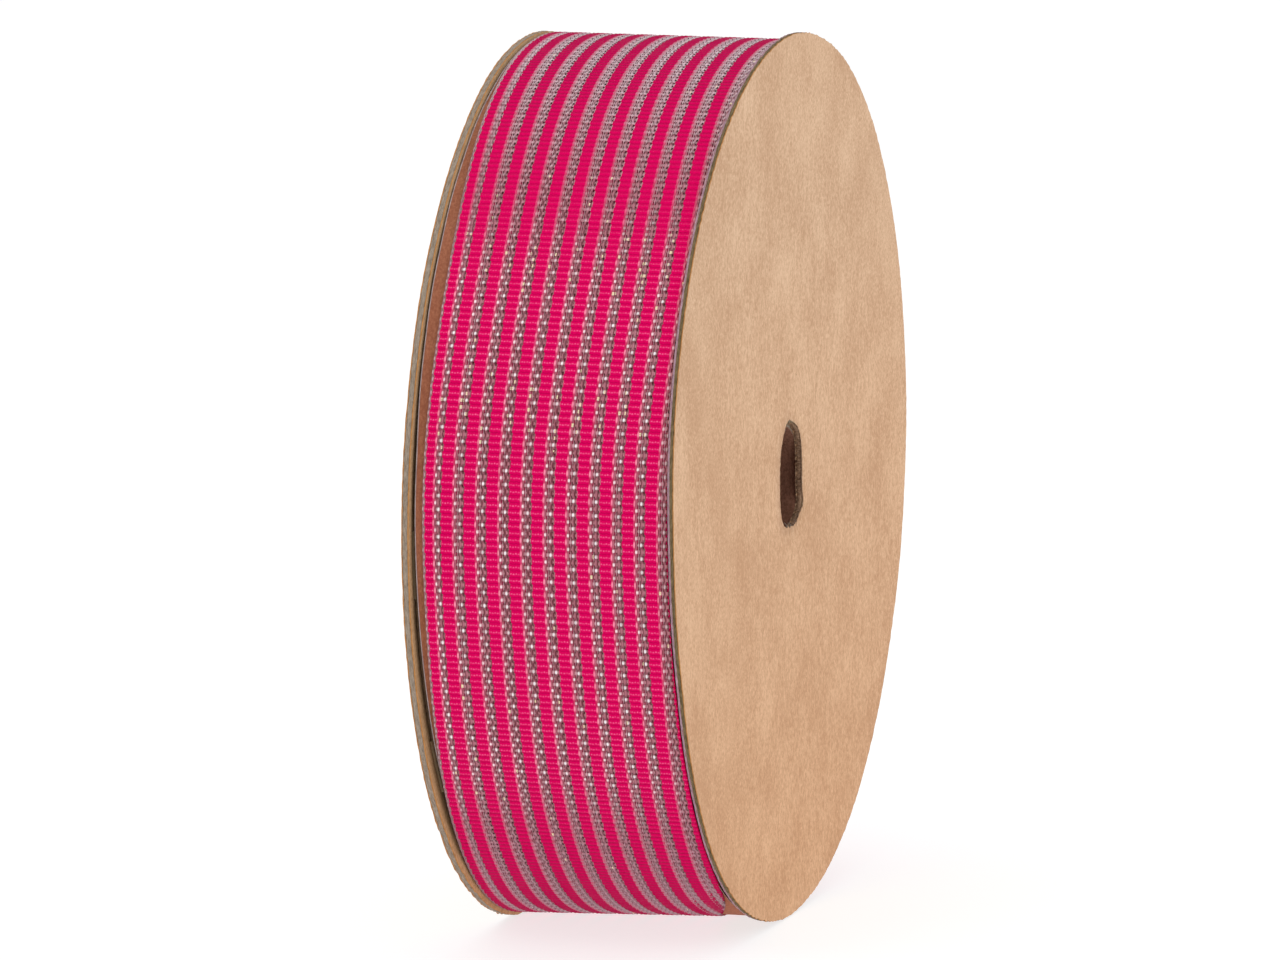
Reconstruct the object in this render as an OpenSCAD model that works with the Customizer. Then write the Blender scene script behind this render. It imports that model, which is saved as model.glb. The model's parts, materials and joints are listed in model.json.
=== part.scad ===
// Ribbon spool: two kraft-faced chipboard flanges, a paper arbor tube, a card drum
// and one yard of ribbon wound on the drum with its end taped down.
// The arbor runs along Y, Z is up, and the spool stands on its two rims.

/* [Flanges] */
// Outer diameter of both flanges
flange_d = 136; // [110:1:160]
// Thickness of the grey chipboard inside a flange
board_t = 0.8; // [0.6:0.1:1.6]
// Thickness of each kraft paper facing
facing_t = 0.2; // [0.15:0.05:0.3]
// Width of the pressed flat that each rim stands on
foot_flat_w = 12; // [6:1:16]

/* [Arbor tube] */
// Diameter of the hole through the spool
bore_d = 16; // [12:0.5:25]
// Thickness of the grey middle ply of the tube
tube_ply_t = 1.1; // [0.8:0.1:2.5]
// Width of the glue fillet at each end of the tube
tube_glue_w = 1.8; // [1:0.1:3]

/* [Drum] */
// Thickness of the grey card hoop
hoop_t = 0.6; // [0.4:0.1:1]
// Gap from each edge of the drum to the flange beside it
drum_end_gap = 0.4; // [0.3:0.1:0.8]
// Number of glue dabs that hold the drum to one flange
glue_dabs = 12; // [6:1:18]
// Width of the gummed strip across the hoop's joint
seam_strip_w = 14; // [8:1:24]

/* [Ribbon] */
// Width of the ribbon as it lies, with its squeezed edges turned under
ribbon_w = 38.4; // [25:0.1:50]
// Thickness of the ribbon
ribbon_t = 0.2; // [0.15:0.05:0.25]
// Whole turns of ribbon under the last part-turn
turns = 2; // [1:1:4]
// How far the flanges stand out beyond the wound ribbon
rim_step = 0.75; // [0.75:0.05:1.5]
// Room between each edge of the ribbon and the flange beside it
side_play = 0.3; // [0.3:0.1:2]

/* [Ribbon end] */
// Length of the loose end that lifts
tail_len = 30; // [20:1:45]
// Lift of the loose end, for a look at its travel
tail_lift = 0; // [0:5:75]
// Length of the clear tape tab
tape_len = 18; // [12:1:24]
// Width of the clear tape tab
tape_w = 19; // [12:1:24]

/* [Hidden] */
flange_r = flange_d / 2;
bore_r = bore_d / 2;
half_gap = ribbon_w / 2 + side_play;
stand_h = sqrt(pow(flange_r, 2) - pow(foot_flat_w / 2, 2));
tube_ply_r = bore_r + facing_t;
tube_wrap_r = tube_ply_r + tube_ply_t;
tube_r = tube_wrap_r + facing_t;
winding_r = flange_r - rim_step;
drum_r = winding_r - turns * ribbon_t;
hoop_r = drum_r - facing_t;
hoop_bore_r = hoop_r - hoop_t;
drum_w = 2 * (half_gap - drum_end_gap);
drum_glue_w = 2.4;
edge_margin = 4;
dab_angle = 9;
seam_at = 320;
slit_w = 0.3;
seam_angle = slit_w / hoop_r * 180 / PI;
strip_angle = seam_strip_w / hoop_bore_r * 180 / PI;
strip_t = 0.2;
tail_gap = 0.1;
hinge_at = 25;
hinge_slit = slit_w / winding_r * 180 / PI;
tail_r = winding_r + tail_gap;
tail_angle = tail_len / tail_r * 180 / PI;
last_turn_angle = 24;
tape_t = 0.08;
tape_angle = tape_len / tail_r * 180 / PI;
tape_overhang = 0.45;
start_tape_t = 0.08;
start_tape_len = 12;
start_tape_angle = start_tape_len / drum_r * 180 / PI;
cut = 1;
$fa = 2;
$fs = 0.4;

kraft = "#CDA47C";
greyboard = "#8F857A";
glue = "#D9C48F";
pink = "#D8005C";
clear_tape = "#E8EEF2";

// Turns a shape built round Z so that it runs along the arbor, with its top at the front.
module along_arbor() {
    rotate([90, 0, 0])
        children();
}

module at_rear() {
    mirror([0, 1, 0])
        children();
}

// One layer of the front flange, between two distances from the middle of the spool.
module flange_layer(near, thickness) {
    translate([0, -near, 0])
        along_arbor()
            difference() {
                cylinder(h = thickness, r = flange_r);
                translate([0, 0, -cut])
                    cylinder(h = thickness + 2 * cut, r = bore_r);
                translate([-flange_r, -stand_h - flange_r, -cut])
                    cube([flange_d, flange_r, thickness + 2 * cut]);
            }
}

// A round wall centred on the spool, running from one angle over a sweep.
module round_wall(inner_r, outer_r, width, from = 0, sweep = 360) {
    along_arbor()
        rotate([0, 0, from])
            rotate_extrude(angle = sweep)
                translate([inner_r, -width / 2])
                    square([outer_r - inner_r, width]);
}

module inner_facing() {
    flange_layer(half_gap, facing_t);
}

module flange_board() {
    flange_layer(half_gap + facing_t, board_t);
}

module outer_facing() {
    flange_layer(half_gap + facing_t + board_t, facing_t);
}

// Glue squeezed out round the end of the tube.
module tube_glue() {
    along_arbor()
        rotate_extrude()
            polygon([[tube_r, half_gap], [tube_r + tube_glue_w, half_gap],
                [tube_r, half_gap - tube_glue_w]]);
}

// Dabs of glue in the corner between the drum and the flange.
module drum_glue() {
    along_arbor()
        for (i = [0 : glue_dabs - 1])
            rotate([0, 0, i * 360 / glue_dabs])
                rotate_extrude(angle = dab_angle)
                    polygon([[hoop_bore_r - strip_t, half_gap],
                        [hoop_bore_r - strip_t - drum_glue_w, half_gap],
                        [hoop_bore_r - strip_t, half_gap - drum_glue_w]]);
    along_arbor()
        for (i = [0 : glue_dabs - 1])
            rotate([0, 0, i * 360 / glue_dabs])
                rotate_extrude(angle = dab_angle)
                    translate([hoop_bore_r - strip_t, half_gap - drum_end_gap])
                        square([hoop_t, drum_end_gap]);
}

module front_flange_board() {
    color(greyboard)
        flange_board();
}

module front_outer_facing() {
    color(kraft)
        outer_facing();
}

module front_inner_facing() {
    color(kraft)
        inner_facing();
}

module rear_flange_board() {
    color(greyboard)
        at_rear()
            flange_board();
}

module rear_outer_facing() {
    color(kraft)
        at_rear()
            outer_facing();
}

module rear_inner_facing() {
    color(kraft)
        at_rear()
            inner_facing();
}

module tube_inner_ply() {
    color(kraft)
        round_wall(bore_r, tube_ply_r, 2 * half_gap);
}

module tube_middle_ply() {
    color(greyboard)
        round_wall(tube_ply_r, tube_wrap_r, 2 * half_gap);
}

module tube_outer_ply() {
    color(kraft)
        round_wall(tube_wrap_r, tube_r, 2 * half_gap);
}

module front_tube_glue() {
    color(glue)
        tube_glue();
}

module rear_tube_glue() {
    color(glue)
        at_rear()
            tube_glue();
}

module drum_hoop() {
    color(greyboard)
        round_wall(hoop_bore_r, hoop_r, drum_w, seam_at, 360 - seam_angle);
}

module drum_facing() {
    color(kraft)
        round_wall(hoop_r, drum_r, drum_w, seam_at, 360 - seam_angle);
}

module drum_seam_strip() {
    color(kraft)
        round_wall(hoop_bore_r - strip_t, hoop_bore_r, drum_w - 2 * edge_margin,
            seam_at - seam_angle / 2 - strip_angle / 2, strip_angle);
}

module front_drum_glue() {
    color(glue)
        drum_glue();
}

module rear_drum_glue() {
    color(glue)
        at_rear()
            drum_glue();
}

// Tape under the very start of the ribbon.
module ribbon_start_tape() {
    color(clear_tape)
        round_wall(drum_r, drum_r + start_tape_t, ribbon_w - 2 * edge_margin,
            hinge_at + last_turn_angle - start_tape_angle, start_tape_angle);
}

// The whole turns, and the last part-turn up to where the loose end starts.
module ribbon_winding() {
    color(pink)
        difference() {
            union() {
                round_wall(drum_r, winding_r, ribbon_w);
                round_wall(winding_r - ribbon_t / 2, winding_r + ribbon_t, ribbon_w,
                    hinge_at + hinge_slit, last_turn_angle - hinge_slit);
            }
            round_wall(drum_r - cut, drum_r + start_tape_t, ribbon_w - 2 * edge_margin,
                hinge_at + last_turn_angle - start_tape_angle, start_tape_angle);
        }
}

// Swings what is on the loose end about the line where it leaves the winding.
module lifted() {
    translate([tail_r * cos(hinge_at), 0, tail_r * sin(hinge_at)])
        rotate([0, -tail_lift, 0])
            translate([-tail_r * cos(hinge_at), 0, -tail_r * sin(hinge_at)])
                children();
}

module ribbon_tail() {
    color(pink)
        lifted()
            round_wall(tail_r, tail_r + ribbon_t, ribbon_w, hinge_at - tail_angle, tail_angle);
}

module tail_tape() {
    color(clear_tape)
        lifted()
            round_wall(tail_r + ribbon_t, tail_r + ribbon_t + tape_t, tape_w,
                hinge_at - tail_angle - tape_angle * tape_overhang, tape_angle);
}

front_flange_board();
front_outer_facing();
front_inner_facing();
rear_flange_board();
rear_outer_facing();
rear_inner_facing();
tube_inner_ply();
tube_middle_ply();
tube_outer_ply();
front_tube_glue();
rear_tube_glue();
drum_hoop();
drum_facing();
drum_seam_strip();
front_drum_glue();
rear_drum_glue();
ribbon_start_tape();
ribbon_winding();
ribbon_tail();
tail_tape();
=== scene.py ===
import json
import math

import bpy
import numpy as np
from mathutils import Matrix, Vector


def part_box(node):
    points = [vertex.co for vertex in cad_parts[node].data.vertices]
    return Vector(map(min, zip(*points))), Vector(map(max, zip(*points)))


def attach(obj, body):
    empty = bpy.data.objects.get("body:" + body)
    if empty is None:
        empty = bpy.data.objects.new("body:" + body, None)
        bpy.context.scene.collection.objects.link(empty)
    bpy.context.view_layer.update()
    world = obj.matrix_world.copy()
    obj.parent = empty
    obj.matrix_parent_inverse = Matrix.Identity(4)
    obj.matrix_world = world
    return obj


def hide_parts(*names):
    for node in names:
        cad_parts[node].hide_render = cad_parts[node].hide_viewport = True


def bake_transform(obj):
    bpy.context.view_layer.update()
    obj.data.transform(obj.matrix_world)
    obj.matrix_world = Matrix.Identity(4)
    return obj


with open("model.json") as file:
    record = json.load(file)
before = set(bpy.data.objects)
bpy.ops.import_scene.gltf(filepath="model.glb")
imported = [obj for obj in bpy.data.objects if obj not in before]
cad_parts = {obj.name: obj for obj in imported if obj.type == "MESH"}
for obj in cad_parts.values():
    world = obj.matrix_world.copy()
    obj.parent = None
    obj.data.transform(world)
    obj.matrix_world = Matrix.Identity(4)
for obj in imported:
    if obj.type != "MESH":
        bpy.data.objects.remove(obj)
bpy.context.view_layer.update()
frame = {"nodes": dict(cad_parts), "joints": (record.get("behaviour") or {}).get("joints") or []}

MM = 0.001

# ---------------------------------------------------------------- sizes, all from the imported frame

FLANGE_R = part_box("front_flange_board")[1].x
STAND_H = -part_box("front_flange_board")[0].z
INNER_PLY_T = 0.2 * MM
BORE_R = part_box("tube_inner_ply")[1].x - INNER_PLY_T
HALF_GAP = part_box("rear_inner_facing")[0].y
DRUM_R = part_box("drum_facing")[1].z
DRUM_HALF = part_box("drum_facing")[1].y
RIBBON_T = 0.2 * MM
HINGE = Vector(frame["joints"][0]["pos_m"])
HINGE_AT = math.atan2(HINGE.z, HINGE.x)
TAIL_R = HINGE.length
TAPE_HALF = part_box("tail_tape")[1].y

# The ribbon is taken to be about one yard: two turns, a short part-turn, and the 30 mm loose end.
FULL_TURN = 2 * math.pi
PART_TURN = math.radians(24)
TAIL_LENGTH = 30 * MM
TAIL_TURN = TAIL_LENGTH / TAIL_R
RIBBON_START = HINGE_AT + PART_TURN


# ---------------------------------------------------------------- small helpers

def waves(angle, seed, lowest, highest, size):
    """Uneven but closed ripple round a circle, with an average swing of size."""
    random = np.random.default_rng(seed)
    counts = np.arange(lowest, highest + 1)
    swings = random.normal(size=len(counts))
    shifts = random.uniform(0, 2 * np.pi, len(counts))
    ripple = (swings[:, None] * np.cos(np.outer(counts, angle) + shifts[:, None])).sum(0)
    return size * ripple / math.sqrt((swings ** 2).sum() / 2)


def hill(angle, centre, width):
    """A smooth hill from 0 to 1 and back, centred at an angle in degrees."""
    away = (angle - math.radians(centre) + np.pi) % (2 * np.pi) - np.pi
    return np.exp(-(away / math.radians(width)) ** 2)


def make_object(name, points, faces, materials, face_material=None):
    """A smooth mesh that keeps only the points its faces use."""
    used, packed = np.unique(faces, return_inverse=True)
    mesh = bpy.data.meshes.new(name)
    mesh.from_pydata(points[used].tolist(), [], packed.reshape(faces.shape).tolist())
    mesh.polygons.foreach_set("use_smooth", [True] * len(mesh.polygons))
    for material in materials:
        mesh.materials.append(material)
    if face_material is not None:
        mesh.polygons.foreach_set("material_index", face_material)
    mesh.update()
    made = bpy.data.objects.new(name, mesh)
    bpy.context.scene.collection.objects.link(made)
    return made


def grid_faces(rows, columns, close_rows=False, close_columns=False):
    """Corner numbers of the squares of a grid of points, row by row."""
    row = np.arange(rows if close_rows else rows - 1)
    column = np.arange(columns if close_columns else columns - 1)
    r, c = np.meshgrid(row, column, indexing="ij")
    r2, c2 = (r + 1) % rows, (c + 1) % columns
    corners = [r * columns + c, r * columns + c2, r2 * columns + c2, r2 * columns + c]
    return np.stack(corners, -1).reshape(-1, 4)


# ---------------------------------------------------------------- materials

def linear(colour):
    """An sRGB hex colour as linear light."""
    parts = [int(colour[i:i + 2], 16) / 255 for i in (1, 3, 5)]
    return [p / 12.92 if p <= 0.04045 else ((p + 0.055) / 1.055) ** 2.4 for p in parts] + [1.0]


def add_node(tree, kind, inputs=None, **settings):
    """One node: its settings, its values, and its links where a value is another node's socket."""
    made = tree.nodes.new(kind)
    for name, value in settings.items():
        setattr(made, name, value)
    for name, value in (inputs or {}).items():
        if isinstance(value, bpy.types.NodeSocket):
            tree.links.new(value, made.inputs[name])
        else:
            made.inputs[name].default_value = value
    return made


def new_material(name):
    material = bpy.data.materials.new(name)
    material.use_nodes = True
    material.node_tree.nodes.clear()
    return material, material.node_tree


def finish_material(tree, **inputs):
    """The one shader of a material and its output. Names of inputs have _ for a space."""
    named = {name.replace("_", " "): value for name, value in inputs.items()}
    shader = add_node(tree, "ShaderNodeBsdfPrincipled", named)
    add_node(tree, "ShaderNodeOutputMaterial", {"Surface": shader.outputs["BSDF"]})


def kraft(name, light, dark, bark="#7A5A3C", roughness=0.86):
    """Kraft liner: unbleached pulp laid down wet on a wire. The eye gets a fine mottle of short fibres
    that lie mostly one way, cloudy patches where the pulp flocked, and a few dark specks of bark."""
    material, tree = new_material(name)
    place = add_node(tree, "ShaderNodeTexCoord")
    # fibres seen as flecks 0.36 mm across and 0.56 mm long, a little more upright than not
    fibre_place = add_node(tree, "ShaderNodeMapping", {
        "Vector": place.outputs["Object"], "Scale": (1 / (0.36 * MM), 1 / (0.36 * MM), 1 / (0.56 * MM))})
    fibres = add_node(tree, "ShaderNodeTexNoise", {
        "Vector": fibre_place.outputs["Vector"], "Scale": 1.0, "Detail": 4.0, "Roughness": 0.7})
    # short streaks from the paper machine, 1.3 mm across
    streak_place = add_node(tree, "ShaderNodeMapping", {
        "Vector": place.outputs["Object"], "Scale": (1 / (1.3 * MM), 1 / (1.3 * MM), 1 / (3.5 * MM))})
    streaks = add_node(tree, "ShaderNodeTexNoise", {
        "Vector": streak_place.outputs["Vector"], "Scale": 1.0, "Detail": 3.0, "Roughness": 0.6})
    clouds = add_node(tree, "ShaderNodeTexNoise", {
        "Vector": place.outputs["Object"], "Scale": 1 / (16 * MM), "Detail": 3.0, "Roughness": 0.6})
    fibre_part = add_node(tree, "ShaderNodeMath", {0: fibres.outputs["Fac"], 1: 0.6}, operation="MULTIPLY")
    streak_part = add_node(tree, "ShaderNodeMath", {
        0: streaks.outputs["Fac"], 1: 0.16, 2: fibre_part.outputs["Value"]}, operation="MULTIPLY_ADD")
    mottle = add_node(tree, "ShaderNodeMath", {
        0: clouds.outputs["Fac"], 1: 0.24, 2: streak_part.outputs["Value"]}, operation="MULTIPLY_ADD")
    ramp = add_node(tree, "ShaderNodeMapRange", {
        "Value": mottle.outputs["Value"], "From Min": 0.425, "From Max": 0.59})
    shade = add_node(tree, "ShaderNodeMix", {
        "Factor": ramp.outputs["Result"], 6: linear(dark), 7: linear(light)}, data_type="RGBA")
    # painted shade: the lower half is darkened a little, where less light falls
    height = add_node(tree, "ShaderNodeSeparateXYZ", {"Vector": place.outputs["Object"]})
    lower_shade = add_node(tree, "ShaderNodeMapRange", {
        "Value": height.outputs["Z"], "From Min": -60 * MM, "From Max": 40 * MM, "To Min": 1.0,
        "To Max": 0.0})
    low_shaded = add_node(tree, "ShaderNodeMix", {
        "Factor": lower_shade.outputs["Result"], 6: shade.outputs[2], 7: linear("#FFF2E6")},
        data_type="RGBA", blend_type="MULTIPLY")
    # bark specks up to 0.5 mm across, several millimetres apart
    specks = add_node(tree, "ShaderNodeTexVoronoi", {
        "Vector": place.outputs["Object"], "Scale": 1 / (5.5 * MM)})
    speck_edge = add_node(tree, "ShaderNodeMapRange", {
        "Value": clouds.outputs["Fac"], "From Min": 0.5, "From Max": 0.7, "To Min": 0.0, "To Max": 0.06})
    is_speck = add_node(tree, "ShaderNodeMath", {
        0: specks.outputs["Distance"], 1: speck_edge.outputs["Result"]}, operation="LESS_THAN")
    speck_share = add_node(tree, "ShaderNodeMath", {
        0: is_speck.outputs["Value"], 1: 0.5}, operation="MULTIPLY")
    colour = add_node(tree, "ShaderNodeMix", {
        "Factor": speck_share.outputs["Value"], 6: low_shaded.outputs[2], 7: linear(bark)}, data_type="RGBA")
    relief = add_node(tree, "ShaderNodeBump", {
        "Height": mottle.outputs["Value"], "Strength": 1.0, "Distance": 0.05 * MM})
    finish_material(tree, Base_Color=colour.outputs[2], Roughness=roughness, IOR=1.5,
                    Specular_IOR_Level=0.2, Normal=relief.outputs["Normal"])
    return material


def cut_board(name, light, dark):
    """The cut edge of pressed card: recycled pulp in layers. The eye gets a matt edge with fine lines
    along the sheet, torn fibres and small dark gaps."""
    material, tree = new_material(name)
    place = add_node(tree, "ShaderNodeTexCoord")
    # layers 0.22 mm thick through the board, torn every millimetre or so along the edge
    layer_place = add_node(tree, "ShaderNodeMapping", {
        "Vector": place.outputs["Object"], "Scale": (1 / (1.1 * MM), 1 / (0.22 * MM), 1 / (1.1 * MM))})
    layers = add_node(tree, "ShaderNodeTexNoise", {
        "Vector": layer_place.outputs["Vector"], "Scale": 1.0, "Detail": 5.0, "Roughness": 0.75})
    ramp = add_node(tree, "ShaderNodeMapRange", {
        "Value": layers.outputs["Fac"], "From Min": 0.34, "From Max": 0.66})
    shade = add_node(tree, "ShaderNodeMix", {
        "Factor": ramp.outputs["Result"], 6: linear(dark), 7: linear(light)}, data_type="RGBA")
    relief = add_node(tree, "ShaderNodeBump", {
        "Height": layers.outputs["Fac"], "Strength": 1.0, "Distance": 0.1 * MM})
    finish_material(tree, Base_Color=shade.outputs[2], Roughness=0.95, IOR=1.5,
                    Specular_IOR_Level=0.15, Normal=relief.outputs["Normal"])
    return material


def hot_melt_glue():
    """Hot-melt glue, set from a bead: waxy and slightly clouded, its brown darkened to paint the shade of the
    gaps it sits in.
    """
    material, tree = new_material("hot_melt_glue")
    place = add_node(tree, "ShaderNodeTexCoord")
    cloud = add_node(tree, "ShaderNodeTexNoise", {
        "Vector": place.outputs["Object"], "Scale": 1 / (2 * MM), "Detail": 2.0})
    shade = add_node(tree, "ShaderNodeMix", {
        "Factor": cloud.outputs["Fac"], 6: linear("#5E4A30"), 7: linear("#7A6242")}, data_type="RGBA")
    finish_material(tree, Base_Color=shade.outputs[2], Roughness=0.4, IOR=1.48, Subsurface_Weight=0.2)
    return material


def crossing_spot(tree, split, length, width, soft):
    """1 on the middle of each crossing where the end rides over a pick, and 0 away from it. The weave
    attribute carries the pick number, the place across the ribbon and the place across the yarn."""
    pair = add_node(tree, "ShaderNodeMath", {0: split.outputs["X"], 1: 2.0}, operation="FLOORED_MODULO")
    along = add_node(tree, "ShaderNodeMath", {0: pair.outputs["Value"], 1: 1.5}, operation="SUBTRACT")
    across = add_node(tree, "ShaderNodeMath", {0: split.outputs["Z"], 1: 0.5}, operation="SUBTRACT")
    place = add_node(tree, "ShaderNodeCombineXYZ", {
        "X": along.outputs["Value"], "Y": across.outputs["Value"]})
    scaled = add_node(tree, "ShaderNodeVectorMath", {
        0: place.outputs["Vector"], 1: (1 / length, 1 / width, 0)}, operation="MULTIPLY")
    away = add_node(tree, "ShaderNodeVectorMath", {0: scaled.outputs["Vector"]}, operation="LENGTH")
    return add_node(tree, "ShaderNodeMapRange", {
        "Value": away.outputs["Value"], "From Min": 1 - soft, "From Max": 1.0, "To Min": 1.0, "To Max": 0.0})


def highlight_height_band(tree, near, far, left):
    """1 on the upright part of the winding, falling to left where it curves over at the top and the foot,
    where the painted highlights fade as the cloth turns away from the light."""
    place = add_node(tree, "ShaderNodeTexCoord")
    split = add_node(tree, "ShaderNodeSeparateXYZ", {"Vector": place.outputs["Object"]})
    height = add_node(tree, "ShaderNodeMath", {0: split.outputs["Z"]}, operation="ABSOLUTE")
    return add_node(tree, "ShaderNodeMapRange", {
        "Value": height.outputs["Value"], "From Min": near * MM, "From Max": far * MM, "To Min": 1.0,
        "To Max": left})


def weave_place(tree):
    attribute = add_node(tree, "ShaderNodeAttribute", attribute_name="weave")
    return attribute, add_node(tree, "ShaderNodeSeparateXYZ", {"Vector": attribute.outputs["Vector"]})


def satin_yarn():
    """Dyed polyester warp yarn packed over thick picks. The eye gets a deep, even colour, with a thin broken
    pale line along the top of each rib: a painted highlight where the filaments turn."""
    material, tree = new_material("magenta_satin_yarn")
    attribute, split = weave_place(tree)
    in_rib = add_node(tree, "ShaderNodeMath", {0: split.outputs["X"], 1: 1.0}, operation="FLOORED_MODULO")
    from_top = add_node(tree, "ShaderNodeMath", {0: in_rib.outputs["Value"], 1: 0.5}, operation="SUBTRACT")
    # the picks bend a little under each yarn, so the painted highlight line is wavy
    bow = add_node(tree, "ShaderNodeMath", {0: split.outputs["Z"], 1: 0.5}, operation="SUBTRACT")
    bow_size = add_node(tree, "ShaderNodeMath", {0: bow.outputs["Value"]}, operation="ABSOLUTE")
    bent = add_node(tree, "ShaderNodeMath", {
        0: bow_size.outputs["Value"], 1: 0.1, 2: from_top.outputs["Value"]}, operation="MULTIPLY_ADD")
    distance = add_node(tree, "ShaderNodeMath", {0: bent.outputs["Value"]}, operation="ABSOLUTE")
    # filaments drawn 0.15 mm apart, coarser than the real 0.02 mm, so that they show
    yarn_place = add_node(tree, "ShaderNodeMapping", {
        "Vector": attribute.outputs["Vector"], "Scale": (1.6, 7.0, 0.0)})
    yarns = add_node(tree, "ShaderNodeTexNoise", {
        "Vector": yarn_place.outputs["Vector"], "Scale": 1.0, "Detail": 2.0, "Roughness": 0.6})
    slow = add_node(tree, "ShaderNodeTexNoise", {
        "Vector": attribute.outputs["Vector"], "Scale": 0.35, "Detail": 1.0})
    line = add_node(tree, "ShaderNodeMapRange", {
        "Value": distance.outputs["Value"], "From Min": 0.02, "From Max": 0.16, "To Min": 1.0, "To Max": 0.0})
    broken = add_node(tree, "ShaderNodeMapRange", {
        "Value": yarns.outputs["Fac"], "From Min": 0.34, "From Max": 0.62, "To Min": 0.1, "To Max": 1.0})
    on_yarn = add_node(tree, "ShaderNodeMapRange", {
        "Value": bow_size.outputs["Value"], "From Min": 0.1, "From Max": 0.45, "To Min": 1.0, "To Max": 0.15})
    dotted = add_node(tree, "ShaderNodeMath", {
        0: line.outputs["Result"], 1: on_yarn.outputs["Result"]}, operation="MULTIPLY")
    lit_band = highlight_height_band(tree, 34, 50, 0.12)
    standing = add_node(tree, "ShaderNodeMath", {
        0: dotted.outputs["Value"], 1: lit_band.outputs["Result"]}, operation="MULTIPLY")
    highlight_share = add_node(tree, "ShaderNodeMath", {
        0: standing.outputs["Value"], 1: broken.outputs["Result"]}, operation="MULTIPLY")
    deep = add_node(tree, "ShaderNodeMix", {
        "Factor": yarns.outputs["Fac"], 6: linear("#C8004A"), 7: linear("#F20068")}, data_type="RGBA")
    # the valley between two ribs lies in its own shade
    valley = add_node(tree, "ShaderNodeMapRange", {
        "Value": distance.outputs["Value"], "From Min": 0.36, "From Max": 0.5, "To Min": 0.0, "To Max": 0.45})
    shaded = add_node(tree, "ShaderNodeMix", {
        "Factor": valley.outputs["Result"], 6: deep.outputs[2], 7: linear("#8A0034")}, data_type="RGBA")
    # painted highlight: the crest line is mixed towards pale pink
    colour = add_node(tree, "ShaderNodeMix", {
        "Factor": highlight_share.outputs["Value"], 6: shaded.outputs[2], 7: linear("#FF6CA2")}, data_type="RGBA")
    # painted shade: where the cloth is seen at a slant, at the top and the foot of the winding, it is
    # darkened towards deep magenta
    slant = add_node(tree, "ShaderNodeLayerWeight", {"Blend": 0.5})
    slant_shade = add_node(tree, "ShaderNodeMapRange", {
        "Value": slant.outputs["Facing"], "From Min": 0.25, "From Max": 0.8, "To Min": 0.0, "To Max": 0.85})
    seen = add_node(tree, "ShaderNodeMix", {
        "Factor": slant_shade.outputs["Result"], 6: colour.outputs[2], 7: linear("#9A0040")}, data_type="RGBA")
    rough = add_node(tree, "ShaderNodeMapRange", {
        "Value": slow.outputs["Fac"], "From Min": 0.3, "From Max": 0.7, "To Min": 0.42, "To Max": 0.6})
    relief = add_node(tree, "ShaderNodeBump", {
        "Height": yarns.outputs["Fac"], "Strength": 1.0, "Distance": 0.05 * MM})
    finish_material(tree, Base_Color=seen.outputs[2], Roughness=rough.outputs["Result"], IOR=1.2,
                    Specular_IOR_Level=0.1, Normal=relief.outputs["Normal"])
    return material


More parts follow.
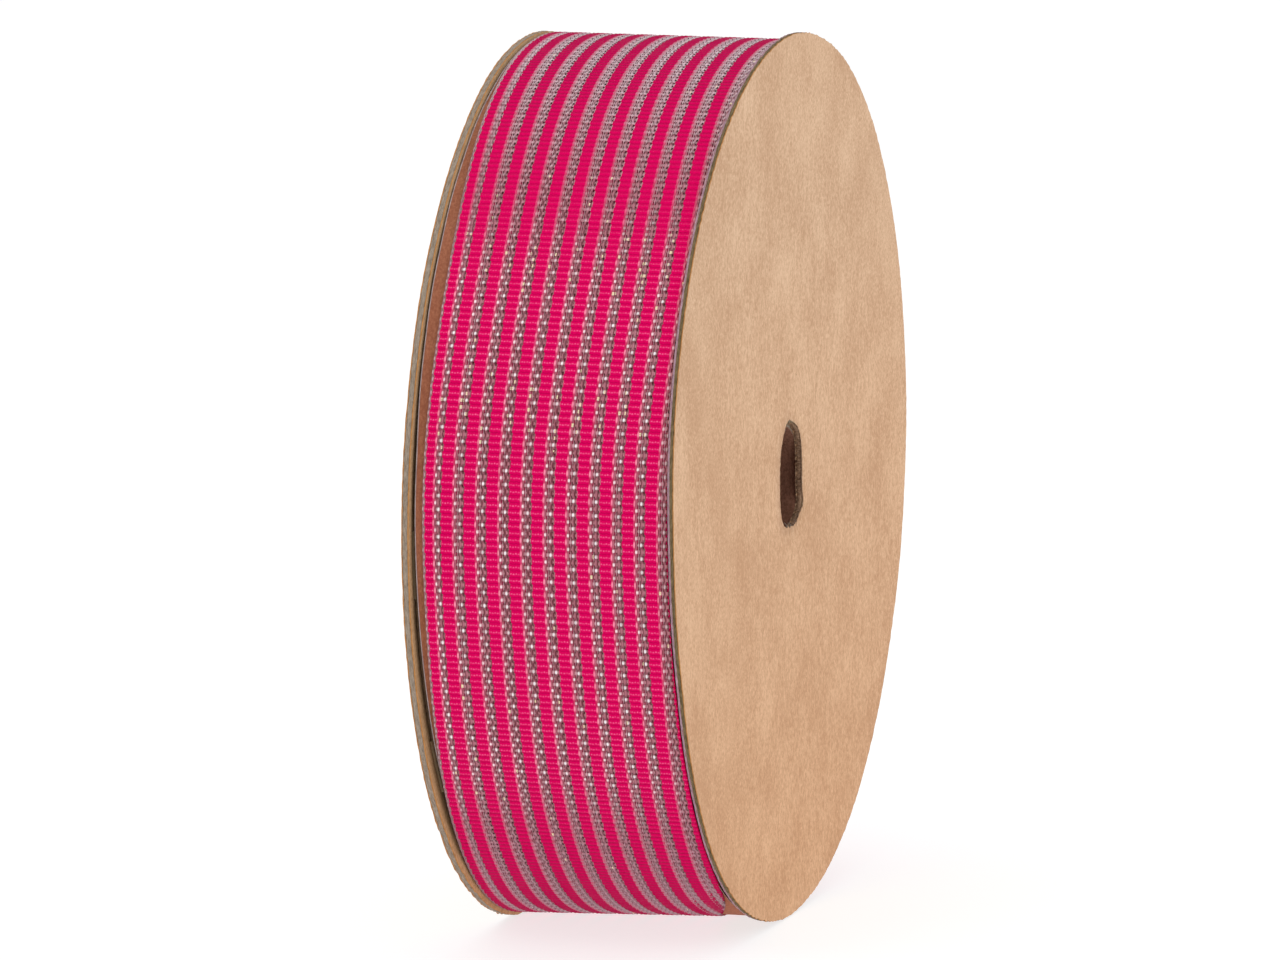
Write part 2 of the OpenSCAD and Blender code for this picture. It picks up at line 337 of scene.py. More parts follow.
def spotted_yarn(name, body, dark, highlight_colour, size, roughness, sheen_colour="#DCC6CE"):
    """A nearly clear filament end. It takes the colour of what lies round it, and shows a small pale painted
    highlight where it rides over a pick."""
    material, tree = new_material(name)
    attribute, split = weave_place(tree)
    grain = add_node(tree, "ShaderNodeTexNoise", {
        "Vector": attribute.outputs["Vector"], "Scale": 2.2, "Detail": 2.0, "Roughness": 0.7})
    grain_ramp = add_node(tree, "ShaderNodeMapRange", {
        "Value": grain.outputs["Fac"], "From Min": 0.36, "From Max": 0.64, "To Min": 0.25, "To Max": 0.75})
    # light and dark crossings by turns, a pick one way and 0.36 mm the other
    by_pick = add_node(tree, "ShaderNodeMath", {0: split.outputs["X"], 1: math.pi}, operation="MULTIPLY")
    end_pitch = 0.36
    by_end = add_node(tree, "ShaderNodeMath", {
        0: split.outputs["Y"], 1: math.pi / end_pitch}, operation="MULTIPLY")
    pick_wave = add_node(tree, "ShaderNodeMath", {0: by_pick.outputs["Value"]}, operation="SINE")
    end_wave = add_node(tree, "ShaderNodeMath", {0: by_end.outputs["Value"]}, operation="SINE")
    crossing = add_node(tree, "ShaderNodeMath", {
        0: pick_wave.outputs["Value"], 1: end_wave.outputs["Value"]}, operation="MULTIPLY")
    woven = add_node(tree, "ShaderNodeMath", {
        0: crossing.outputs["Value"], 1: 0.8, 2: grain_ramp.outputs["Result"]}, operation="MULTIPLY_ADD")
    shade = add_node(tree, "ShaderNodeMix", {
        "Factor": woven.outputs["Value"], 6: linear(dark), 7: linear(body)}, data_type="RGBA")
    # painted highlight: a pale spot on the middle of each crossing where the end rides over a pick
    bead = crossing_spot(tree, split, size[0], size[1], 0.55)
    uneven = add_node(tree, "ShaderNodeTexNoise", {
        "Vector": attribute.outputs["Vector"], "Scale": 0.9, "Detail": 1.0})
    bright = add_node(tree, "ShaderNodeMapRange", {
        "Value": uneven.outputs["Fac"], "From Min": 0.35, "From Max": 0.6, "To Min": 0.6, "To Max": 1.0})
    lit_band = highlight_height_band(tree, 37, 48, 0.15)
    # the painted highlights are dimmed over the last two millimetres before the turned-under edge
    edge_dimming = add_node(tree, "ShaderNodeMapRange", {
        "Value": split.outputs["Y"], "From Min": 35.5, "From Max": 37.5, "To Min": 1.0, "To Max": 0.4})
    kept = add_node(tree, "ShaderNodeMath", {
        0: lit_band.outputs["Result"], 1: edge_dimming.outputs["Result"]}, operation="MULTIPLY")
    raised = add_node(tree, "ShaderNodeMath", {
        0: bead.outputs["Result"], 1: kept.outputs["Value"]}, operation="MULTIPLY")
    share = add_node(tree, "ShaderNodeMath", {
        0: raised.outputs["Value"], 1: bright.outputs["Result"]}, operation="MULTIPLY")
    colour = add_node(tree, "ShaderNodeMix", {
        "Factor": share.outputs["Value"], 6: shade.outputs[2], 7: linear(highlight_colour)}, data_type="RGBA")
    # painted sheen: seen along the cloth at a grazing angle the filaments are paled towards the reflected
    # white of the surroundings
    slant = add_node(tree, "ShaderNodeLayerWeight", {"Blend": 0.5})
    sheen = add_node(tree, "ShaderNodeMapRange", {
        "Value": slant.outputs["Facing"], "From Min": 0.25, "From Max": 0.75, "To Min": 0.0, "To Max": 0.85})
    uneven_sheen = add_node(tree, "ShaderNodeMath", {
        0: crossing.outputs["Value"], 1: 0.5, 2: 0.75}, operation="MULTIPLY_ADD")
    sheen_share = add_node(tree, "ShaderNodeMath", {
        0: sheen.outputs["Result"], 1: uneven_sheen.outputs["Value"]}, operation="MULTIPLY")
    # painted shade: the painted sheen turns a darker mauve towards the foot of the winding, where less light
    # falls from above
    place = add_node(tree, "ShaderNodeTexCoord")
    height = add_node(tree, "ShaderNodeSeparateXYZ", {"Vector": place.outputs["Object"]})
    sheen_height = add_node(tree, "ShaderNodeMapRange", {
        "Value": height.outputs["Z"], "From Min": -48 * MM, "From Max": 30 * MM})
    sheen_colour_here = add_node(tree, "ShaderNodeMix", {
        "Factor": sheen_height.outputs["Result"], 6: linear("#A67A88"), 7: linear(sheen_colour)}, data_type="RGBA")
    seen = add_node(tree, "ShaderNodeMix", {
        "Factor": sheen_share.outputs["Value"], 6: colour.outputs[2], 7: sheen_colour_here.outputs[2]},
        data_type="RGBA")
    finish_material(tree, Base_Color=seen.outputs[2], Roughness=roughness, IOR=1.5, Specular_IOR_Level=0.3)
    return material


def gold_thread():
    """Metallised film thread: a flat gold strip, coloured near white so that its faces serve as painted
    glints where the light catches.
    """
    material, tree = new_material("gold_film_thread")
    attribute, split = weave_place(tree)
    twist = add_node(tree, "ShaderNodeTexNoise", {
        "Vector": attribute.outputs["Vector"], "Scale": 2.4, "Detail": 2.0, "Roughness": 0.8})
    relief = add_node(tree, "ShaderNodeBump", {
        "Height": twist.outputs["Fac"], "Strength": 1.0, "Distance": 0.25 * MM})
    shade = add_node(tree, "ShaderNodeMix", {
        "Factor": twist.outputs["Fac"], 6: linear("#FFDC9C"), 7: linear("#FFF6DC")}, data_type="RGBA")
    finish_material(tree, Base_Color=shade.outputs[2], Metallic=0.15, Roughness=0.3,
                    Normal=relief.outputs["Normal"])
    return material


def clear_adhesive_tape():
    """Clear polypropylene tape, cast film with a gum on its back: glossy, almost colourless, with faint
    streaks where the gum has wetted the ribbon unevenly."""
    material, tree = new_material("clear_adhesive_tape")
    place = add_node(tree, "ShaderNodeTexCoord")
    streak_place = add_node(tree, "ShaderNodeMapping", {
        "Vector": place.outputs["Object"], "Scale": (1 / (6 * MM), 1 / (1.5 * MM), 1 / (6 * MM))})
    streaks = add_node(tree, "ShaderNodeTexNoise", {
        "Vector": streak_place.outputs["Vector"], "Scale": 1.0, "Detail": 3.0})
    gum = add_node(tree, "ShaderNodeMapRange", {
        "Value": streaks.outputs["Fac"], "From Min": 0.35, "From Max": 0.7, "To Min": 0.08, "To Max": 0.22})
    relief = add_node(tree, "ShaderNodeBump", {
        "Height": streaks.outputs["Fac"], "Strength": 1.0, "Distance": 0.03 * MM})
    finish_material(tree, Base_Color=linear("#F4F6F4"), Roughness=0.12, IOR=1.49,
                    Alpha=gum.outputs["Result"], Normal=relief.outputs["Normal"])
    return material


def studio_paper():
    """A white acrylic shooting table, sanded matt and lit a little from below, so it stays white."""
    material, tree = new_material("white_shooting_table")
    finish_material(tree, Base_Color=linear("#A0A0A0"), Roughness=0.9, Specular_IOR_Level=0.1,
                    Emission_Color=linear("#FFFFFF"), Emission_Strength=0.72)
    return material


flange_kraft = kraft("kraft_liner", "#E6C2A0", "#C79E7C")
lining_kraft = kraft("kraft_lining", "#D6B28A", "#B4906A")
# partly its own brown, partly painted shade and pink reflection: the drum's kraft is darker and redder than
# the flanges', standing in for the shade of the gap beside the ribbon and the pink light thrown there
shaded_drum_kraft = kraft("shaded_drum_kraft", "#AE6F52", "#92563E", bark="#5A3B26", roughness=0.8)
tube_kraft = kraft("tube_kraft", "#946A58", "#74503F", bark="#3E2A1C")
cut_liner = cut_board("cut_kraft_liner", "#D09458", "#9E6A38")
hole_wall = cut_board("rubbed_hole_wall", "#B8977C", "#7E604A")
cut_lip = cut_board("raised_card_lip", "#CDB9B4", "#9A8486")
greyboard = cut_board("cut_greyboard", "#B0A090", "#786A5C")
# painted shade: a darker copy of the cut board's colour
shaded_board = cut_board("cut_board_in_shade", "#8A7656", "#4A3E2A")
card_fibre = cut_board("loose_card_fibre", "#B8ACA0", "#86786A")
# painted shade: the drum hoop's card is made dark to stand in for the shade of the deep gap between drum and
# flange
hoop_card = cut_board("hoop_card_in_painted_shade", "#6A543E", "#3A2C20")
# pale card edge, tinted pink as painted reflection of the magenta ribbon beside it
pink_lit_lip = cut_board("card_lip_painted_pink", "#C8A6B2", "#8E6A78")
glue = hot_melt_glue()
tape_film = clear_adhesive_tape()
MAGENTA, FILAMENT, SELVEDGE, GLINT_FILM, BRIGHT, ROSE, PICK_YARN, PALE_ROSE = range(8)
CLOTH = [
    satin_yarn(),
    spotted_yarn("clear_filament", "#C68C98", "#84404C", "#DCB8C0", (0.3, 0.5), 0.45),
    spotted_yarn("selvedge_yarn", "#A8787E", "#6E4448", "#CDB0B2", (0.4, 0.7), 0.55),
    gold_thread(),
    spotted_yarn("bright_filament", "#AE6A76", "#6A2834", "#FFF8FA", (0.34, 0.66), 0.3),
    spotted_yarn("rose_filament", "#DE3C72", "#BE144C", "#FF92AE", (0.55, 0.85), 0.45, "#B8909C"),
    spotted_yarn("clear_pick", "#BA7882", "#6C2631", "#C08890", (0.2, 0.4), 0.5),
    spotted_yarn("pale_rose_filament", "#C06478", "#8E3446", "#FFE4EA", (0.32, 0.85), 0.35, "#D0AEB8")]

# ---------------------------------------------------------------- flanges

AROUND = 960
OFF_CENTRE = 0.5 * MM
# the surfaces of one layer of a flange
FACE, RIM, HOLE_WALL, LIP = range(4)
# where each rim is dented: angle in degrees, depth in mm and spread in degrees
NICKS = {-1: [(201, 0.10, 0.7), (150, 0.07, 1.1), (40, 0.12, 0.6), (318, 0.10, 0.9)],
         1: [(163, 0.16, 0.9), (168, 0.12, 0.6), (187, 0.14, 0.7), (197, 0.18, 0.8), (226, 0.18, 0.9),
             (236, 0.14, 0.7), (243, 0.16, 0.8), (75, 0.10, 1.1), (330, 0.12, 0.9)]}


def flange_bow(angle, side):
    """How far a flange's rim leans out, in mm: the front one bows low on the left, the rear one below."""
    if side < 0:
        return 1.03 * hill(angle, 196, 33) + 0.25 * hill(angle, 60, 50)
    return 0.5 * hill(angle, 242, 32) - 0.15 * hill(angle, 130, 30) + 0.3 * hill(angle, 330, 40)


def pinch(radii):
    """The cutting die squeezes the last millimetre and a half of the card."""
    share = np.clip((radii / FLANGE_R - 0.975) / 0.02, 0, 1)
    return share * share * (3 - 2 * share)


def punched_oval(angle, half_width, half_height):
    """Radius of a squarish oval, the shape a round punch leaves when it drags the soft card with it."""
    across = np.abs(np.cos(angle)) / half_width
    upright = np.abs(np.sin(angle)) / half_height
    return (across ** 2.7 + upright ** 2.7) ** (-1 / 2.7)


def torn_hole(angle, seed):
    """The hole in the outer facing: punched, then chewed by a rod, with a tear low on one side."""
    ragged = waves(angle, seed + 3, 5, 60, 0.06 * MM)
    tear = 1.5 * MM * hill(angle, -36, 11)
    peak = 0.95 * MM * hill(angle, 98, 16) - 0.35 * MM * hill(angle, -90, 40)
    return punched_oval(angle, BORE_R - 1.7 * MM, BORE_R + 0.05 * MM) + ragged + tear + peak


def board_hole(angle, seed):
    """The hole through the board, which crowds in behind the facing's."""
    oval = punched_oval(angle, BORE_R - 1.5 * MM, BORE_R - 0.1 * MM)
    torn = 0.9 * MM * hill(angle, -38, 15)
    peak = 0.5 * MM * hill(angle, 95, 18)
    return oval + torn + peak + waves(angle, seed + 3, 4, 90, 0.08 * MM)


def flange_layer(node, name, material, rim_material, seed, side, hole, fuzz):
    """One die-cut disc of a flange, closed all round, with a worn rim, the flat it stands on and its hole."""
    low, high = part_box(node)
    angle = np.linspace(0, 2 * np.pi, AROUND, endpoint=False)
    rim = FLANGE_R - 0.03 * MM + waves(angle, 5 + side, 3, 24, 0.03 * MM)
    rim = rim + waves(angle, seed, 40, 260, fuzz * MM)
    for where, depth, width in NICKS[side]:
        rim -= depth * MM * hill(angle, where, width)
    bore = hole(angle, seed)
    steps = 34
    reach = 1 - (1 - np.linspace(0, 1, steps)) ** 1.6
    outward = bore[:, None] + (rim - bore)[:, None] * reach
    proud = rim[:, None] + np.full((1, 3), 0.03 * MM)
    radii = np.concatenate([outward, proud, outward[:, ::-1][:, ::3]], axis=1)
    depth = np.concatenate([np.full(steps, 1.0), [0.6, 0.0, -0.55], np.full(steps // 3 + 1, -1.0)])
    # the discs were glued on a little off centre, and both were then pressed flat where they stand
    x = radii * np.cos(angle)[:, None]
    z = np.maximum(radii * np.sin(angle)[:, None] - side * OFF_CENTRE, -STAND_H + 0.01 * MM)
    middle, half = (low.y + high.y) / 2 * side, (high.y - low.y) / 2
    out = middle + half * depth[None, :]
    thin = (out - HALF_GAP) / (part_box("rear_outer_facing")[1].y - HALF_GAP)
    out = out + (0.27 if side < 0 else 0.05) * MM * (1 - thin) * pinch(radii)
    ripple = 0.02 * np.sin(9 * x / FLANGE_R + 4 * z / FLANGE_R) + 0.015 * np.sin(17 * z / FLANGE_R - side)
    out = out + (flange_bow(angle, side)[:, None] * (radii / FLANGE_R) ** 3 + ripple) * MM
    points = np.stack([x, side * out, z], -1).reshape(-1, 3)
    faces = grid_faces(AROUND, radii.shape[1], close_rows=True, close_columns=True)
    kinds = np.full(radii.shape[1], FACE)
    kinds[steps - 1:steps + 3] = RIM
    kinds[-1] = HOLE_WALL
    if side < 0 and "board" in node:
        kinds[steps + 2] = LIP
    made = make_object(name, points, faces if side > 0 else faces[:, ::-1],
                       [material, rim_material, hole_wall, pink_lit_lip], np.tile(kinds, AROUND))
    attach(made, "spool")
    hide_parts(node)


for side, place in ((-1, "front"), (1, "rear")):
    flange_layer(f"{place}_outer_facing", f"{place}_kraft_face", flange_kraft, cut_liner,
                 11 + side, side, torn_hole, 0.045)
    # painted shade: the front board's rim lies in shade between ribbon and face, so it takes the darker copy
    board = shaded_board if side < 0 else greyboard
    flange_layer(f"{place}_flange_board", f"{place}_chipboard", board, board,
                 21 + side, side, board_hole, 0.05)
    flange_layer(f"{place}_inner_facing", f"{place}_kraft_lining", lining_kraft,
                 pink_lit_lip if side < 0 else cut_liner, 31 + side, side, board_hole, 0.025)


def hole_fibres():
    """Card fibres pulled loose at the top and the foot of the front hole, 0.08 mm thick and up to 1 mm
    long."""
    random = np.random.default_rng(41)
    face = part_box("front_outer_facing")[0].y
    rings, sides = 6, 5
    points, faces = [], []
    for number in range(64):
        at = math.radians(97 + random.normal() * 7 if number % 2 else -82 + random.normal() * 16)
        edge = torn_hole(np.array([at]), 10)[0] + 0.1 * MM
        length = random.uniform(0.3, 0.95) * MM
        lean = at + np.pi + random.normal() * 0.7
        curl = random.normal() * 0.9
        along = np.linspace(0, 1, rings)
        x = edge * math.cos(at) + length * along * np.cos(lean + curl * along)
        z = edge * math.sin(at) + OFF_CENTRE + length * along * np.sin(lean + curl * along)
        y = face + MM * (0.12 + random.uniform(-0.25, 0.6) * along)
        thick = 0.04 * MM * (1 - 0.7 * along)
        turn = np.linspace(0, 2 * np.pi, sides, endpoint=False)
        ring_x = x[:, None] + thick[:, None] * np.cos(turn)
        ring_y = y[:, None] + thick[:, None] * np.sin(turn)
        ring = np.stack([ring_x, ring_y, z[:, None] + 0 * turn], -1)
        faces.append(grid_faces(rings, sides, close_columns=True) + number * rings * sides)
        points.append(ring.reshape(-1, 3))
    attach(make_object("hole_fibres", np.concatenate(points), np.concatenate(faces), [card_fibre]), "spool")


hole_fibres()


# ---------------------------------------------------------------- drum

def drum_skin():
    """The drum's kraft facing, with its cut edges turned up a little where the card was scored."""
    angle = np.linspace(0, 2 * np.pi, AROUND, endpoint=False)
    across = np.array([-1, -0.999, -0.994, -0.985, -0.6, 0, 0.6, 0.985, 0.994, 0.999, 1])
    lip = np.array([0.20, 0.28, 0.1, 0, 0, 0, 0, 0, 0.1, 0.28, 0.20]) * MM
    thickness = np.array([0.04, 0.06, 0.12, 0.2, 0.2, 0.2, 0.2, 0.2, 0.12, 0.06, 0.04]) * MM
    wander = 0.1 * MM * np.sin(angle + 0.4) + waves(angle, 77, 3, 30, 0.03 * MM)
    outer = DRUM_R + lip + waves(angle, 78, 2, 9, 0.02 * MM)[:, None] - 0.05 * MM
    radii = np.concatenate([outer, (outer - thickness)[:, ::-1]], axis=1)
    along = np.concatenate([across, across[::-1]]) * DRUM_HALF
    # the rear edge was cut up to 0.4 mm short, most of all just below the middle of the left side
    short = 0.4 * MM * hill(angle, 207, 34)
    y = along[None, :] + wander[:, None] - short[:, None] * (along > 0)
    points = np.stack([radii * np.cos(angle)[:, None], y, radii * np.sin(angle)[:, None]], -1).reshape(-1, 3)
    # the two turned-up lips and the front cut edge show the paler inside of the card
    kinds = np.zeros(radii.shape[1], int)
    kinds[[0, 1, 8, 9, 10, 21]] = 1
    made = make_object("drum_skin", points, grid_faces(AROUND, radii.shape[1], True, True),
                       [shaded_drum_kraft, cut_lip], np.tile(kinds, AROUND))
    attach(made, "spool")
    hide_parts("drum_facing")


drum_skin()

# ---------------------------------------------------------------- ribbon

PICK = 1.015 * MM
ROWS_PER_PICK = 4
RIBBON_W = 40.0
SELVEDGE_W = 0.3
EDGE_STRIPE_W = 1.55
EDGE_GAP = 0.95
STRIPE_W = 2.07
SHEER_W = 1.44
FULL_STRIPES = 10
FOLD_R = 0.1
# what a warp end is: TOOTH and SALMON edge an opaque stripe, the rest but PINK and PALE make a sheer one
PINK, CLEAR, PALE, BEAD, SALMON, OPEN, TOOTH, BEAD_ROSE = range(8)


def stripe_plan():
    """The ribbon's warp from its rear edge: the edges of each end in mm, what it is, where across its own
    yarn it lies, and which picks it rides over."""
    edges, kinds, shares, turns = [0.0], [], [], []

    def end(width, kind, turn=0, share=(0.0, 1.0)):
        edges.append(edges[-1] + width)
        kinds.append(kind)
        shares.append(share)
        turns.append(turn)

    def opaque(width, yarns):
        end(0.14, TOOTH, 0)
        for i in range(yarns):
            end((width - 0.40) / yarns, PINK, i % 2)
        end(0.26, SALMON, 0)

    def sheer(width, rear_bead):
        end(rear_bead, BEAD_ROSE, 1)
        space = (width - rear_bead - 0.40) / 5
        end(space, OPEN, 0)
        end(space, CLEAR, 0)
        end(space, OPEN, 1)
        end(0.20, BEAD, 0, (0.0, 0.5))
        end(0.20, BEAD, 0, (0.5, 1.0))
        end(space, OPEN, 0)
        end(space, OPEN, 1)

    end(SELVEDGE_W / 2, PALE, 0)
    end(SELVEDGE_W / 2, PALE, 1)
    opaque(EDGE_STRIPE_W, 3)
    sheer(EDGE_GAP, 0.25)
    for _ in range(FULL_STRIPES):
        opaque(STRIPE_W, 4)
        sheer(SHEER_W, 0.32)
    opaque(RIBBON_W - SELVEDGE_W - edges[-1], 4)
    end(SELVEDGE_W / 2, PALE, 0)
    end(SELVEDGE_W / 2, PALE, 1)
    return np.array(edges), np.array(kinds), np.array(shares), np.array(turns)


def rear_edge(angle, turn):
    """Where the ribbon's rear edge lies, in mm from the middle. The winding wanders as it was wound."""
    stray = 18.9 - 1.75 * hill(angle, 147, 27) - 1.2 * hill(angle, 193, 23) + 0.95 * hill(angle, 250, 22)
    stray = stray - 0.8 * hill(angle, 20, 40) - 0.5 * hill(angle, 320, 25)
    return stray - 0.25 * (turn - 1.5)


def fold_line(angle):
    """Where the front edge is turned under, in mm from the middle: hard against the flange, but drawn away
    from it at the foot."""
    return -(HALF_GAP / MM + flange_bow(angle, -1) - 0.04) + 6.9 * hill(angle, 264, 15)


def lie_across(edges, angle, turn):
    """Sideways place and drop below the ribbon's own level of each warp edge, for each row."""
    flat = rear_edge(angle, turn)[:, None] - edges[None, :]
    fold = (fold_line(angle) + 0.03 * turn)[:, None]
    past = np.maximum(fold - flat, 0)
    around = np.minimum(past / FOLD_R, np.pi)
    beyond = np.maximum(past - np.pi * FOLD_R, 0)
    across = np.where(past > 0, fold - FOLD_R * np.sin(around) + beyond, flat)
    drop = np.where(past > 0, FOLD_R * (1 - np.cos(around)), 0)
    return across, drop


def weave_height(kinds, turns, rows):
    """Relief of the cloth above its own middle, in mm: ribs over the picks, and a bead at each crossing."""
    phase = np.arange(rows) % ROWS_PER_PICK
    pick = np.arange(rows) // ROWS_PER_PICK
    crest = np.array([0.12, 0.86, 0.86, 0.12])[phase]
    left = np.append(kinds, kinds[-1])
    right = np.insert(kinds, 0, kinds[0])
    turn = np.append(turns, turns[-1])
    over = (pick[:, None] + turn[None, :]) % 2
    solid = np.isin(left, (PINK, TOOTH, SALMON)) & np.isin(right, (PINK, TOOTH, SALMON))
    bead = ((left == BEAD) & (right == BEAD)) | (right == BEAD_ROSE)
    pale = (left == PALE) | (right == PALE)
    height = np.zeros((rows, len(left)))
    height += solid * (0.15 * crest[:, None] + 0.02 * (2 * over - 1))
    height += (~solid & ~bead & ~pale) * (0.05 * crest[:, None] * (0.4 + over) - 0.02)
    height += bead * (0.20 * crest[:, None] * over - 0.02)
    height += pale * (0.10 * crest[:, None] * over + 0.02)
    return height


def end_materials(kinds, turns, rows, angle, random):
    """What each square of cloth is made of, and whether it is there at all."""
    row = np.repeat(np.arange(rows - 1), len(kinds))
    kind = np.tile(kinds, rows - 1)
    turn = np.tile(turns, rows - 1)
    phase = row % ROWS_PER_PICK
    over = (row // ROWS_PER_PICK + turn) % 2
    material = np.select([kind == PINK, kind == CLEAR, kind == PALE, kind == BEAD, kind == SALMON,
                          kind == BEAD_ROSE],
                         [MAGENTA, FILAMENT, SELVEDGE, BRIGHT, ROSE, PALE_ROSE], PICK_YARN)
    material[(kind == TOOTH) & (over == 1)] = MAGENTA
    # painted glints: faces of pale gold film are set in four short bands where the light catches, and now and
    # then elsewhere
    band = 0.13 * hill(angle, 144, 4) + 0.16 * hill(angle, 164, 4)
    band = band + 0.15 * (hill(angle, 318, 8) + hill(angle, 40, 8))
    band = (band + 0.006)[row]
    middle = (phase == 1) | (phase == 2)
    column = np.tile(np.arange(len(kinds)), rows - 1)
    lucky = random.random((rows // ROWS_PER_PICK + 1, len(kinds)))[row // ROWS_PER_PICK, column]
    painted_glints = np.isin(kind, (BEAD_ROSE, CLEAR, BEAD)) & middle & (lucky < band)
    material[painted_glints] = GLINT_FILM
    shown = ~((kind == OPEN) & ((phase == 0) | (phase == 3)))
    return material, shown


def woven_strip(name, turned_from, sweep, radius_at, seed):
    """A length of the ribbon as it lies, with ribs, crossings and open gaps between the clear filaments."""
    edges, kinds, shares, turns = stripe_plan()
    picks = int(round(sweep * DRUM_R / PICK))
    rows = picks * ROWS_PER_PICK + 1
    turned = turned_from + np.linspace(0, 1, rows) * sweep
    angle = RIBBON_START - turned
    across, drop = lie_across(edges, angle, turned / FULL_TURN)
    relief = weave_height(kinds, turns, rows) * np.where(drop > FOLD_R, -0.3, 1)
    r = radius_at(turned)[:, None] + (relief - drop) * MM + foot_slack(angle, across)
    # the slack foot can't pass through the table
    z = np.maximum(r * np.sin(angle)[:, None], -STAND_H + 0.05 * MM)
    points = np.stack([r * np.cos(angle)[:, None], across * MM, z], -1).reshape(-1, 3)
    faces = grid_faces(rows, len(edges))
    material, shown = end_materials(kinds, turns, rows, angle, np.random.default_rng(seed))
    made = make_object(name, points, faces[shown], CLOTH, material[shown])
    # each corner carries its pick number, its place across the ribbon and its place across its own yarn
    row = np.repeat(np.arange(rows - 1), len(kinds))
    low, high = edges[:-1], edges[1:]
    picks_at = np.stack([row, row, row + 1, row + 1], -1) / ROWS_PER_PICK
    sides_at = np.tile(np.stack([low, high, high, low], -1), (rows - 1, 1))
    share = np.stack([shares[:, 0], shares[:, 1], shares[:, 1], shares[:, 0]], -1)
    yarn_at = np.tile(share, (rows - 1, 1))
    parity = np.tile(np.repeat(turns[:, None], 4, 1), (rows - 1, 1))
    # every other end is beaten a little further along its pick
    weave = np.stack([picks_at + 1.05 * parity, sides_at, yarn_at], -1)[shown].reshape(-1, 3)
    attribute = made.data.attributes.new("weave", "FLOAT_VECTOR", "CORNER")
    attribute.data.foreach_set("vector", weave.astype(np.float32).ravel())
    return made


def wound_radius(turned):
    return DRUM_R + RIBBON_T * (0.5 + turned / FULL_TURN)


def foot_slack(angle, across):
    """The winding hangs a little slack at its foot, on the rear side, and is pressed in on the front."""
    return hill(angle, 258, 20)[:, None] * (0.1 + 0.55 * across / 19) * MM


OUTER_PARTS = 4
for part in range(OUTER_PARTS):
    sweep = FULL_TURN / OUTER_PARTS
    strip = woven_strip(f"ribbon_outer_turn_{part + 1}", FULL_TURN + part * sweep, sweep, wound_radius, part)
    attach(strip, "spool")
    if part == 0:
        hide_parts("ribbon_winding")

end_sweep = PART_TURN + TAIL_TURN
end_strip = woven_strip("ribbon_end", 2 * FULL_TURN, end_sweep, lambda t: wound_radius(t) + 0.08 * MM, 9)


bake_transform(end_strip)
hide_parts("ribbon_tail")


def inner_turn():
    """The first turn, seen only through the open gaps of the second and at the edges. It is plain cloth
    with the same stripes."""
    edges, kinds, shares, turns = stripe_plan()
    plain = np.select([np.isin(kinds, (PINK, TOOTH, SALMON)), kinds == PALE],
                      [MAGENTA, SELVEDGE], PICK_YARN)
    starts = np.concatenate([[0], np.nonzero(np.diff(plain))[0] + 1])
    stops = np.append(edges[starts], edges[-1])
    # every stripe has points between its edges, so that the turned-under edge can bend
    fine = np.sort(np.concatenate([stops, (stops[:-1] + stops[1:]) / 2]))
    kind_of = plain[np.searchsorted(edges, (fine[:-1] + fine[1:]) / 2) - 1]
    rows = 480
    turned = np.linspace(0, 1, rows) * FULL_TURN
    angle = RIBBON_START - turned
    # it lies half a millimetre further from the rear flange than the turns over it
    across, drop = lie_across(fine, angle, 3.0 + turned / FULL_TURN)
    r = wound_radius(turned)[:, None] - drop * MM * 0.5
    points = np.stack([r * np.cos(angle)[:, None], across * MM, r * np.sin(angle)[:, None]], -1)
    made = make_object("ribbon_inner_turn", points.reshape(-1, 3), grid_faces(rows, len(fine)),
                       CLOTH, np.tile(kind_of, rows - 1))
    low, high = np.meshgrid(turned[:-1] * DRUM_R / PICK, fine[:-1], indexing="ij")
    low2, high2 = np.meshgrid(turned[1:] * DRUM_R / PICK, fine[1:], indexing="ij")
    weave = np.stack([np.stack([low, low, low2, low2], -1), np.stack([high, high2, high2, high], -1),
                      np.zeros(low.shape + (4,))], -1)
    attribute = made.data.attributes.new("weave", "FLOAT_VECTOR", "CORNER")
    attribute.data.foreach_set("vector", weave.astype(np.float32).ravel())
    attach(made, "spool")


inner_turn()


# ---------------------------------------------------------------- tape tab

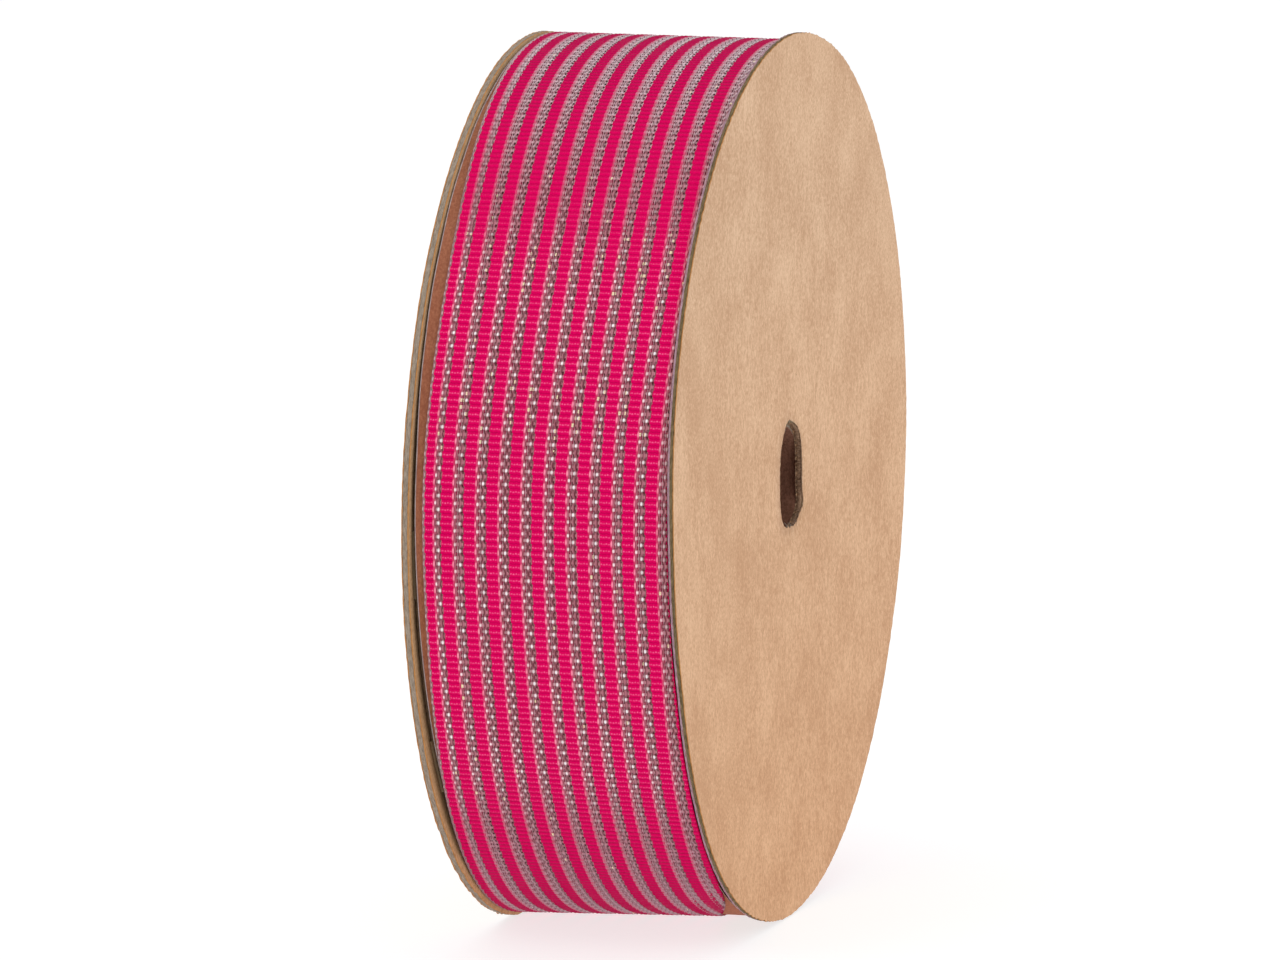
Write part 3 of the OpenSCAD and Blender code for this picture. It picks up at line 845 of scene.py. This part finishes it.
def tape_tab():
    """The clear tab: half of it on the loose end, half stepping down onto the turn below."""
    tip = HINGE_AT - TAIL_TURN
    count = 60
    angle = np.linspace(tip + math.radians(8.2), tip - math.radians(6.8), count)
    top = wound_radius(2 * FULL_TURN + end_sweep) + 0.33 * MM
    under = wound_radius(FULL_TURN + end_sweep) + 0.27 * MM
    r = top + (under - top) / (1 + np.exp((angle - tip + 0.004) / 0.002))
    across = np.linspace(-1, 1, 41) * TAPE_HALF
    # both ends were torn off on the dispenser's teeth, 0.9 mm apart
    teeth = 0.5 * MM / top * np.abs(((across / (0.9 * MM)) % 1) - 0.5)
    share = np.linspace(1, -1, count)
    turn = angle[:, None] + teeth[None, :] * (np.sign(share) * np.abs(share) ** 12)[:, None]
    sides = []
    for thick in (0.05 * MM, 0.0):
        radius = (r + thick)[:, None]
        sides.append(np.stack([radius * np.cos(turn), np.repeat(across[None, :], count, 0),
                               radius * np.sin(turn)], -1).reshape(-1, 3))
    columns = len(across)
    top_faces = grid_faces(count, columns)
    first, last = np.arange(columns), np.arange(columns) + (count - 1) * columns
    left, right = np.arange(count) * columns, np.arange(count) * columns + columns - 1
    rim = np.concatenate([first, right[1:], last[::-1][1:], left[::-1][1:-1]])
    after = np.roll(rim, -1)
    low = count * columns
    walls = np.stack([rim + low, after + low, after, rim], -1)
    made = make_object("tape_tab", np.concatenate(sides),
                       np.concatenate([top_faces, top_faces[:, ::-1] + low, walls]), [tape_film])
    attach(made, "loose_end")
    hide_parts("tail_tape")


tape_tab()


# ---------------------------------------------------------------- nodes that keep their CAD shape

finishes = {
    "tube_inner_ply": tube_kraft, "tube_middle_ply": greyboard, "tube_outer_ply": tube_kraft,
    "front_tube_glue": glue, "rear_tube_glue": glue,
    "drum_hoop": hoop_card, "drum_seam_strip": shaded_drum_kraft,
    "front_drum_glue": glue, "rear_drum_glue": glue, "ribbon_start_tape": tape_film}
for node, material in finishes.items():
    mesh = frame["nodes"][node].data
    mesh.materials.clear()
    mesh.materials.append(material)


# ---------------------------------------------------------------- floor, light and camera

def floor():
    span = np.linspace(-3.0, 3.0, 24)
    x, y = np.meshgrid(span, span, indexing="ij")
    points = np.stack([x, y, np.full_like(x, -STAND_H)], -1).reshape(-1, 3)
    make_object("studio_floor", points, grid_faces(24, 24)[:, ::-1], [studio_paper()])


floor()

AZIMUTH, ELEVATION = math.radians(286.14), math.radians(8.2)
DISTANCE = 29 * FLANGE_R
toward = Vector((math.sin(AZIMUTH) * math.cos(ELEVATION), -math.cos(AZIMUTH) * math.cos(ELEVATION),
                 math.sin(ELEVATION)))
sideways = Vector((math.cos(AZIMUTH), math.sin(AZIMUTH), 0))
upward = toward.cross(sideways)

scene = bpy.context.scene
scene.view_settings.view_transform = "Standard"
world = bpy.data.worlds.new("studio")
world.use_nodes = True
scene.world = world
world.node_tree.nodes["Background"].inputs["Color"].default_value = linear("#FFFFFF")
world.node_tree.nodes["Background"].inputs["Strength"].default_value = 0.74


def softbox(name, left, up, near, size, power):
    """A lamp placed as seen from the camera: so far left, up and near, in metres from the spool."""
    lamp = bpy.data.lights.new(name, "AREA")
    lamp.size = size
    lamp.energy = power
    made = bpy.data.objects.new(name, lamp)
    made.location = -left * sideways + up * Vector((0, 0, 1)) + near * toward
    made.rotation_euler = made.location.to_track_quat("Z", "Y").to_euler()
    scene.collection.objects.link(made)


softbox("left_key", 0.7, 0.9, 0.8, 0.5, 2.6)
softbox("right_fill", -0.75, 0.45, 0.35, 0.6, 0.6)
softbox("overhead", 0.1, 1.5, 0.0, 1.6, 5)

# the frame takes in 1.444 flange diameters from side to side
SEEN_WIDTH = 1.444 * 2 * FLANGE_R
SENSOR_W = 36
camera_data = bpy.data.cameras.new("camera")
camera_data.sensor_width = SENSOR_W
camera_data.lens = SENSOR_W * DISTANCE / SEEN_WIDTH
camera_data.clip_end = 20
camera = bpy.data.objects.new("camera", camera_data)
# the spool stands a little right of the middle of the frame
camera.location = toward * DISTANCE - 0.0474 * FLANGE_R * sideways - 0.0113 * FLANGE_R * upward
camera.rotation_euler = toward.to_track_quat("Z", "Y").to_euler()
scene.collection.objects.link(camera)
scene.camera = camera
